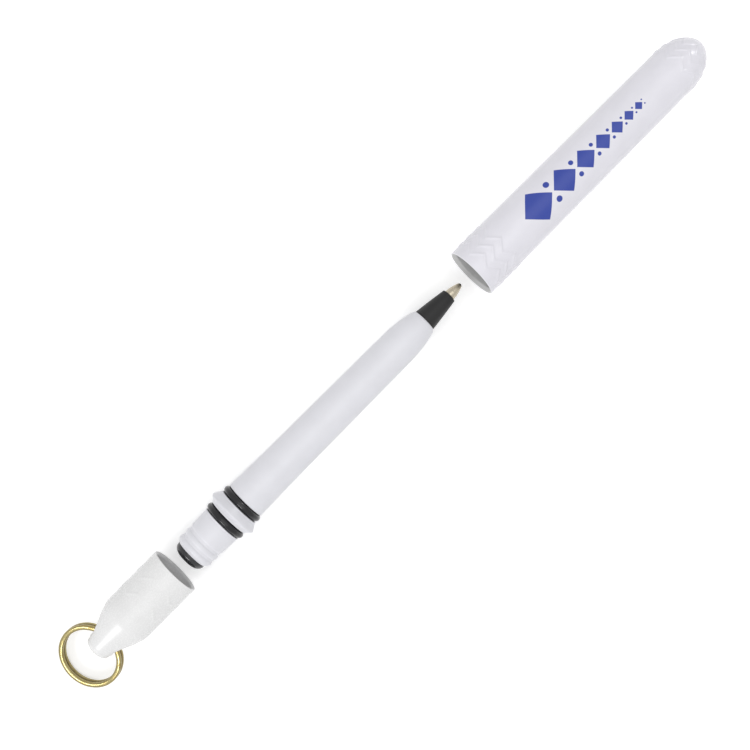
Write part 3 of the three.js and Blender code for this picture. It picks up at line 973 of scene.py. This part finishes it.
# %% Cutter for the cross hole
def hole_cutter():
    """A turned cutter across the pen, wider at both ends."""
    hole = 1.76
    broken_edge = 0.35
    beyond = 2
    around = 96
    side = tail_profile_radius(ring_hole)
    wide = hole + broken_edge + beyond
    rows = [
        (-side - beyond, wide),
        (-side + broken_edge, hole),
        (side - broken_edge, hole),
        (side + beyond, wide),
    ]
    mesh = bmesh.new()
    rings = []
    for y, radius in rows:
        ring = []
        for step in range(around):
            turn = math.tau * step / around
            x = tail_mouth - ring_hole + radius * math.cos(turn)
            z = axis_height + radius * math.sin(turn)
            ring.append(mesh.verts.new((x * MM, y * MM, z * MM)))
        rings.append(ring)
    for here, there in zip(rings, rings[1:]):
        for step in range(around):
            following = (step + 1) % around
            mesh.faces.new((here[step], here[following], there[following], there[step]))
    mesh.faces.new(rings[0])
    mesh.faces.new(rings[-1])
    return finished("hole_cutter", mesh, tail_finish)


# %% Cross hole
cutter = hole_cutter()
boolean = tail.modifiers.new("cross_hole", "BOOLEAN")
boolean.operation = "DIFFERENCE"
boolean.solver = "EXACT"
boolean.object = cutter
drilled = tail.evaluated_get(bpy.context.evaluated_depsgraph_get())
tail.data = bpy.data.meshes.new_from_object(drilled)
tail.modifiers.clear()
bpy.data.objects.remove(cutter)
tail.data.shade_smooth()
tail.data.set_sharp_from_angle(angle=math.radians(35))
stands_for(tail, "tail_cap", "tail")
print(f"tail cap: {len(tail.data.polygons)} faces")

# %% [markdown]
# ## The key ring
# A split ring is one flat wire wound twice. It lies on its lower turn, steps up in a short jog and goes
# round again. Geometry Nodes first sweeps a small rounded rectangle along a straight line, and a rule then
# bends this straight wire: its length becomes the way round, its width lies away from the ring's middle,
# and its thickness stays upright. A sweep along the wound path itself would let the wire twist.


# %% The tree that winds a wire
def ring_tree():
    """Node group: winds a straight flat wire from `First` to `Last` degrees, with one jog up at 360."""
    tree = bpy.data.node_groups.new("wound_wire", "GeometryNodeTree")
    numbers = ["Radius", "Wire Width", "Wire Thickness", "Turn Gap", "Jog Length", "First", "Last", "Corner"]
    points_along = 400
    for label in numbers:
        tree.interface.new_socket(label, in_out="INPUT", socket_type="NodeSocketFloat")
    tree.interface.new_socket("Material", in_out="INPUT", socket_type="NodeSocketMaterial")
    tree.interface.new_socket("Geometry", in_out="OUTPUT", socket_type="NodeSocketGeometry")
    graph = Graph(tree)
    start = graph.node("NodeGroupInput")
    given = {label: Value(graph, start.outputs[label]) for label in ["Material", *numbers]}
    line = graph.add("GeometryNodeCurvePrimitiveLine", None, {"Start": (0, 0, 0), "End": (1, 0, 0)})
    fine_line = graph.add("GeometryNodeResampleCurve", None, {"Curve": line, "Count": points_along})
    flat_size = {"Width": given["Wire Width"], "Height": given["Wire Thickness"]}
    flat = graph.add("GeometryNodeCurvePrimitiveQuadrilateral", None, flat_size)
    rounding = {"Curve": flat, "Count": 4, "Radius": given["Corner"]}
    section = graph.add("GeometryNodeFilletCurve", {"mode": "POLY"}, rounding)
    sweep = {"Curve": fine_line, "Profile Curve": section, "Fill Caps": True}
    wire = graph.add("GeometryNodeCurveToMesh", None, sweep)
    x, y, z = graph.parts(graph.add("GeometryNodeInputPosition"))
    degrees = given["First"] + x * (given["Last"] - given["First"])
    step = (degrees - 360) / given["Jog Length"] + 0.5
    climbed = step.math("MAXIMUM", 0).math("MINIMUM", 1)
    climbed = climbed * climbed * (3 - 2 * climbed)
    level = (climbed - 0.5) * (given["Wire Thickness"] + given["Turn Gap"])
    reach = given["Radius"] - given["Wire Width"] / 2 + y
    turn = degrees * (math.pi / 180)
    place = graph.add("ShaderNodeCombineXYZ", None, {
        "X": reach * turn.math("COSINE"),
        "Y": reach * turn.math("SINE"),
        "Z": level + z,
    })
    bent = graph.add("GeometryNodeSetPosition", None, {"Geometry": wire, "Position": place})
    real = graph.add("GeometryNodeRealizeInstances", None, {"Geometry": bent})
    coating = {"Geometry": real, "Material": given["Material"]}
    coated = graph.add("GeometryNodeSetMaterial", None, coating)
    graph.node("NodeGroupOutput", None, {"Geometry": coated})
    return tree


# %% [markdown]
# The joint in the frame says where the hole's axis is, and the droop follows from that height and the
# ring's reach. The groove between the two turns is darkened, partly by pocket grime and partly as
# painted shade. Its level is a distance from the ring's own middle plane, which leans as the ring does.

# %% Where the ring hangs, and its finish
swing = next(joint for joint in frame["joints"] if joint["name"] == "ring_swing")
hole_place = Vector(swing["pos_m"])
ring_radius = 7.2 * MM
ring_reach = 5.9 * MM
ring_edge = ring_reach + ring_radius
wire_width = 1.1 * MM
wire_thickness = 0.9 * MM
turn_gap = 0.1 * MM
half_height = wire_thickness + turn_gap / 2
lean = math.atan(half_height / ring_edge)
droop = math.asin(hole_place.z / math.hypot(ring_edge, half_height)) - lean


def grimy_shaded_wire():
    """Plated wire with dark grime and painted shade in the groove, where the level over the ring's middle
    plane is low.
    """
    finish = plated_wire("ring_metal", (0.335, 0.285, 0.135), 0.14)
    past_hole = finish.along - hole_place.x / MM
    over_hole = finish.up + axis_height - hole_place.z / MM
    level = (over_hole * math.cos(droop) - past_hole * math.sin(droop)).math("ABSOLUTE")
    # The groove is darkened: partly pocket grime, partly painted shade where the two turns meet.
    grime_and_shade = level.ramp(0.3, 0.04) * 0.85
    finish.set(base_color=finish.mix(grime_and_shade, finish.shade, (0.10, 0.065, 0.03)))
    finish.set(roughness=finish.gloss + 0.3 * grime_and_shade, metallic=1.0)
    return finish


ring_finish = grimy_shaded_wire()
print(f"the ring droops by {math.degrees(droop):.1f} degrees")

# %% Key ring
ring = bpy.data.objects.new("key_ring_wire", bpy.data.meshes.new("key_ring_wire"))
bpy.context.scene.collection.objects.link(ring)
jog_length = 26.0
end_gap = 3.0
run_tree(
    ring,
    ring_tree(),
    radius=ring_radius,
    wire_width=wire_width,
    wire_thickness=wire_thickness,
    turn_gap=turn_gap,
    jog_length=jog_length,
    first=jog_length / 2 + end_gap,
    last=720 - jog_length / 2 - end_gap,
    corner=0.34 * MM,
    material=ring_finish.material,
)

# %% [markdown]
# The ring is made flat round its own middle, with the jog and both ends of the wire on the side that
# lies in the hole. Now it goes to its place: moved out from the hole by its reach, and drooped about the
# hole until it rests on the table.

# %% Lay the ring in its hole
to_hole = Matrix.Translation(hole_place) @ Matrix.Rotation(-droop, 4, "Y")
ring.data.transform(to_hole @ Matrix.Translation((-ring_reach, 0, 0)))
clean = bmesh.new()
clean.from_mesh(ring.data)
bmesh.ops.remove_doubles(clean, verts=clean.verts, dist=1e-7)
bmesh.ops.recalc_face_normals(clean, faces=clean.faces)
clean.to_mesh(ring.data)
clean.free()
ring.data.shade_smooth()
ring.data.set_sharp_from_angle(angle=math.radians(50))
stands_for(ring, "split_ring", "key_ring")
print(f"key ring: {len(ring.data.polygons)} faces")

# %% [markdown]
# ## Table and light
# The table is white and so is the light, so the pen's whites must stay a little darker than the table
# to show at all. A soft lamp stands past each end of the pen and glints on its round ends, a wide one
# hangs overhead, and the pale world fills the rest. Together they light a level surface at about 1, so a
# colour looks as written. Where the camera, a mirror or glass looks straight at them, the table and the
# world are simply white.


# %% Table
def white_table():
    """A matt white whose glow is only seen and lights nothing, so that it still takes a shadow."""
    finish = Finish("table")
    fibres = finish.noise(30, detail=2)
    finish.set(base_color=finish.mix(fibres, (0.9, 0.9, 0.9), (0.93, 0.93, 0.93)), roughness=0.9)
    glow = finish.mix(finish.looks_on(), (0, 0, 0), (1, 1, 1))
    finish.set(emission_color=glow, emission_strength=0.35, specular_ior_level=0.0)
    return finish


table_side = 4
bpy.ops.mesh.primitive_plane_add(size=table_side, location=(0, 0, 0))
table = bpy.context.active_object
table.name = "table"
table.data.materials.append(white_table().material)
print(f"a table of {table_side} m by {table_side} m")

# %% World
world = bpy.data.worlds.new("studio")
bpy.context.scene.world = world
world.use_nodes = True
sky = Graph(world.node_tree)
background = world.node_tree.nodes["Background"]
x, y, z = sky.parts(sky.add("ShaderNodeTexCoord"))
# The bright side is overhead and a little towards the tail.
towards_light = 0.9 * z - 0.42 * x - 0.1 * y
bright_side = 0.70
dark_side = 0.26
fill = dark_side + (bright_side - dark_side) * towards_light.ramp(-0.5, 1)
sky.feed(background.inputs["Color"], (1, 1, 1, 1))
sky.feed(background.inputs["Strength"], fill + sky.looks_on() * (1 - fill))
print(f"the world gives {dark_side} to {bright_side}")


# %% Lamps
def lamp(name, place, size, level, aim=(0, 0, 0)):
    """A soft lamp that adds `level` to the brightness of a white surface facing it at the aim."""
    away = Vector(aim) - Vector(place)
    data = bpy.data.lights.new(name, "AREA")
    data.shape = "RECTANGLE"
    data.size, data.size_y = size
    data.energy = level * math.pi**2 * away.length_squared
    lamp_object = bpy.data.objects.new(name, data)
    lamp_object.location = place
    lamp_object.rotation_euler = away.to_track_quat("-Z", "Y").to_euler()
    bpy.context.scene.collection.objects.link(lamp_object)
    print(f"{name}: {data.energy:.2f} W")


lamp("key_lamp", (-0.72, -0.02, 0.48), (0.36, 0.12), 0.24, aim=(-0.08, 0, 0))
lamp("overhead_lamp", (0.0, -0.06, 0.90), (0.90, 0.70), 0.22)
lamp("far_lamp", (0.74, -0.01, 0.42), (0.12, 0.12), 0.15, aim=(0.06, 0, 0))
